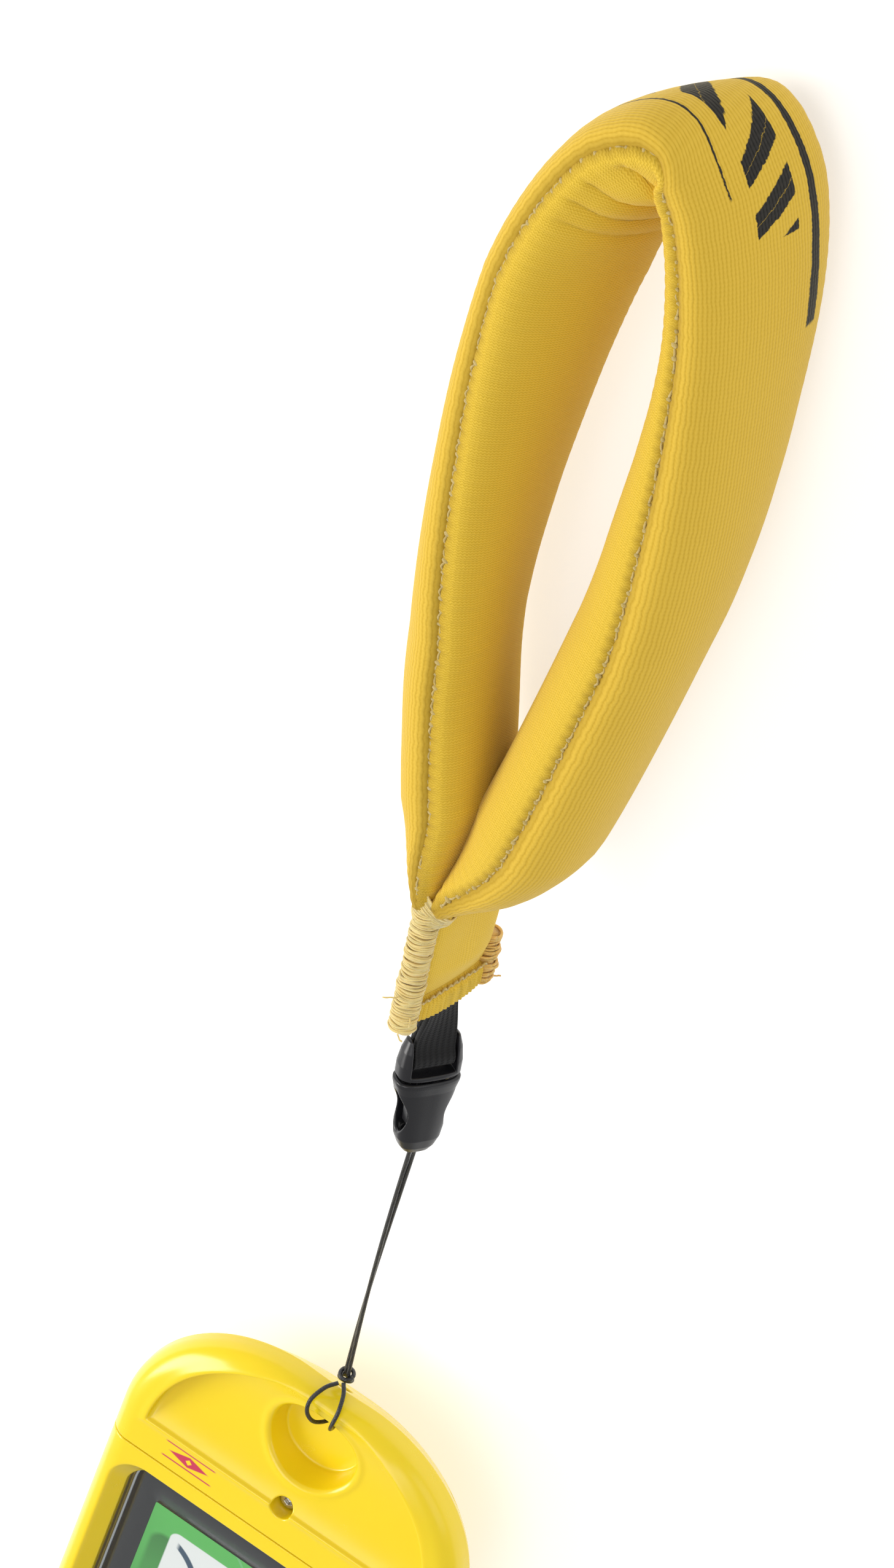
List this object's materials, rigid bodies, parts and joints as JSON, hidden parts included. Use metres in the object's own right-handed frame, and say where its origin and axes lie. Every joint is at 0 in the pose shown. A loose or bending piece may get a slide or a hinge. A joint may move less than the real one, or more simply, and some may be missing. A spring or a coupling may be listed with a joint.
{
  "type": "handheld gps unit",
  "caption": "Hand-held GPS unit in a hinged sealed yellow housing, with a lanyard cord, quick-release clip and padded floating wrist strap.",
  "frame": {"origin": "centre of the housing's flat back face", "axes": "+X is the unit's right side, +Y points from the unit towards the strap, +Z points out of the screen"},
  "size_m": [0.0885, 0.465, 0.0379],
  "materials": {
    "housing_yellow": "glossy moulded plastic",
    "black_plastic": "satin moulded plastic",
    "steel": "plain steel",
    "silver_band": "satin silver",
    "clear_window": "clear polished",
    "black_glass": "polished black glass",
    "display": "lit green map screen",
    "seal_rubber": "soft rubber",
    "shock_foam": "soft foam",
    "handset_shell": "fine texture",
    "circuit": "circuit laminate",
    "ceramic": "fired ceramic patch",
    "cord": "waxed black cord",
    "webbing": "ribbed woven tape",
    "strap_fabric": "fine knit over foam",
    "seam_thread": "translucent stitches",
    "binding_thread": "dense overcast stitching",
    "float_foam": "closed-cell float foam"
  },
  "bodies": {
    "housing": {"rear_shell": "housing_yellow", "top_cap": "housing_yellow", "cap_screw": "steel", "seal_gasket": "seal_rubber", "hinge_pin": "steel", "rear_camera_window": "clear_window", "latch_pin_left": "steel", "latch_pin_right": "steel", "shock_pad_upper": "shock_foam", "shock_pad_lower": "shock_foam", "handset_back": "handset_shell", "handset_band": "silver_band", "handset_glass": "black_glass", "display_panel": "display", "logic_board": "circuit", "shield_can": "steel", "gps_antenna": "ceramic", "camera_module": "black_plastic", "battery": "handset_shell", "speaker": "black_plastic", "hitch_bight": "cord"},
    "lid": {"front_frame": "housing_yellow", "window_pane": "clear_window"},
    "home_button": {"home_button": "black_plastic"},
    "power_button": {"power_button": "black_plastic"},
    "volume_up_button": {"volume_up_button": "black_plastic"},
    "volume_down_button": {"volume_down_button": "black_plastic"},
    "latch_left": {"latch_lever_left": "black_plastic"},
    "latch_right": {"latch_lever_right": "black_plastic"},
    "hitch": {"hitch_knot": "cord"},
    "cord": {"cord_strand_left": "cord", "cord_strand_right": "cord"},
    "clip_socket": {"clip_socket": "black_plastic"},
    "clip_plug": {"clip_plug": "black_plastic", "webbing": "webbing"},
    "strap": {"float_core": "float_foam", "strap_outer_panel": "strap_fabric", "strap_inner_panel": "strap_fabric", "edge_seam_upper": "seam_thread", "edge_seam_lower": "seam_thread", "strap_tail": "strap_fabric", "tail_binding_upper": "binding_thread", "tail_binding_lower": "binding_thread"}
  },
  "joints": [
    {"name": "lid_hinge", "type": "hinge", "parent": "housing", "child": "lid", "pos_m": [0, -0.0845, 0.01965], "axis": [1, 0, 0], "range_deg": [0, 110]},
    {"name": "latch_left_swing", "type": "hinge", "parent": "housing", "child": "latch_left", "pos_m": [-0.0312, -0.02, 0.0056], "axis": [0, -1, 0], "range_deg": [0, 70]},
    {"name": "latch_right_swing", "type": "hinge", "parent": "housing", "child": "latch_right", "pos_m": [0.0312, -0.02, 0.0056], "axis": [0, 1, 0], "range_deg": [0, 70]},
    {"name": "home_press", "type": "slide", "parent": "lid", "child": "home_button", "axis": [0, 0, -1], "range_m": [0, 0.001]},
    {"name": "power_press", "type": "slide", "parent": "housing", "child": "power_button", "axis": [-1, 0, 0], "range_m": [0, 0.0008]},
    {"name": "volume_up_press", "type": "slide", "parent": "housing", "child": "volume_up_button", "axis": [1, 0, 0], "range_m": [0, 0.0008]},
    {"name": "volume_down_press", "type": "slide", "parent": "housing", "child": "volume_down_button", "axis": [1, 0, 0], "range_m": [0, 0.0008]},
    {"name": "cord_swing", "type": "hinge", "parent": "housing", "child": "hitch", "pos_m": [0, 0.0863, 0.0195], "axis": [0, 0, 1], "range_deg": [-35, 35]},
    {"name": "cord_lift", "type": "hinge", "parent": "hitch", "child": "cord", "pos_m": [0, 0.0863, 0.0195], "axis": [0.9966, 0.0819, 0], "range_deg": [-30, 30]},
    {"name": "clip_tilt", "type": "hinge", "parent": "cord", "child": "clip_socket", "pos_m": [-0.00485, 0.1453, 0.0195], "axis": [0.9863, 0.165, 0], "range_deg": [-30, 30]},
    {"name": "clip_release", "type": "slide", "parent": "clip_socket", "child": "clip_plug", "axis": [-0.165, 0.9863, 0], "range_m": [0, 0.018]},
    {"name": "strap_bend", "type": "hinge", "parent": "clip_plug", "child": "strap", "pos_m": [-0.01046, 0.17883, 0.0195], "axis": [0, 0, 1], "range_deg": [-30, 30]}
  ]
}
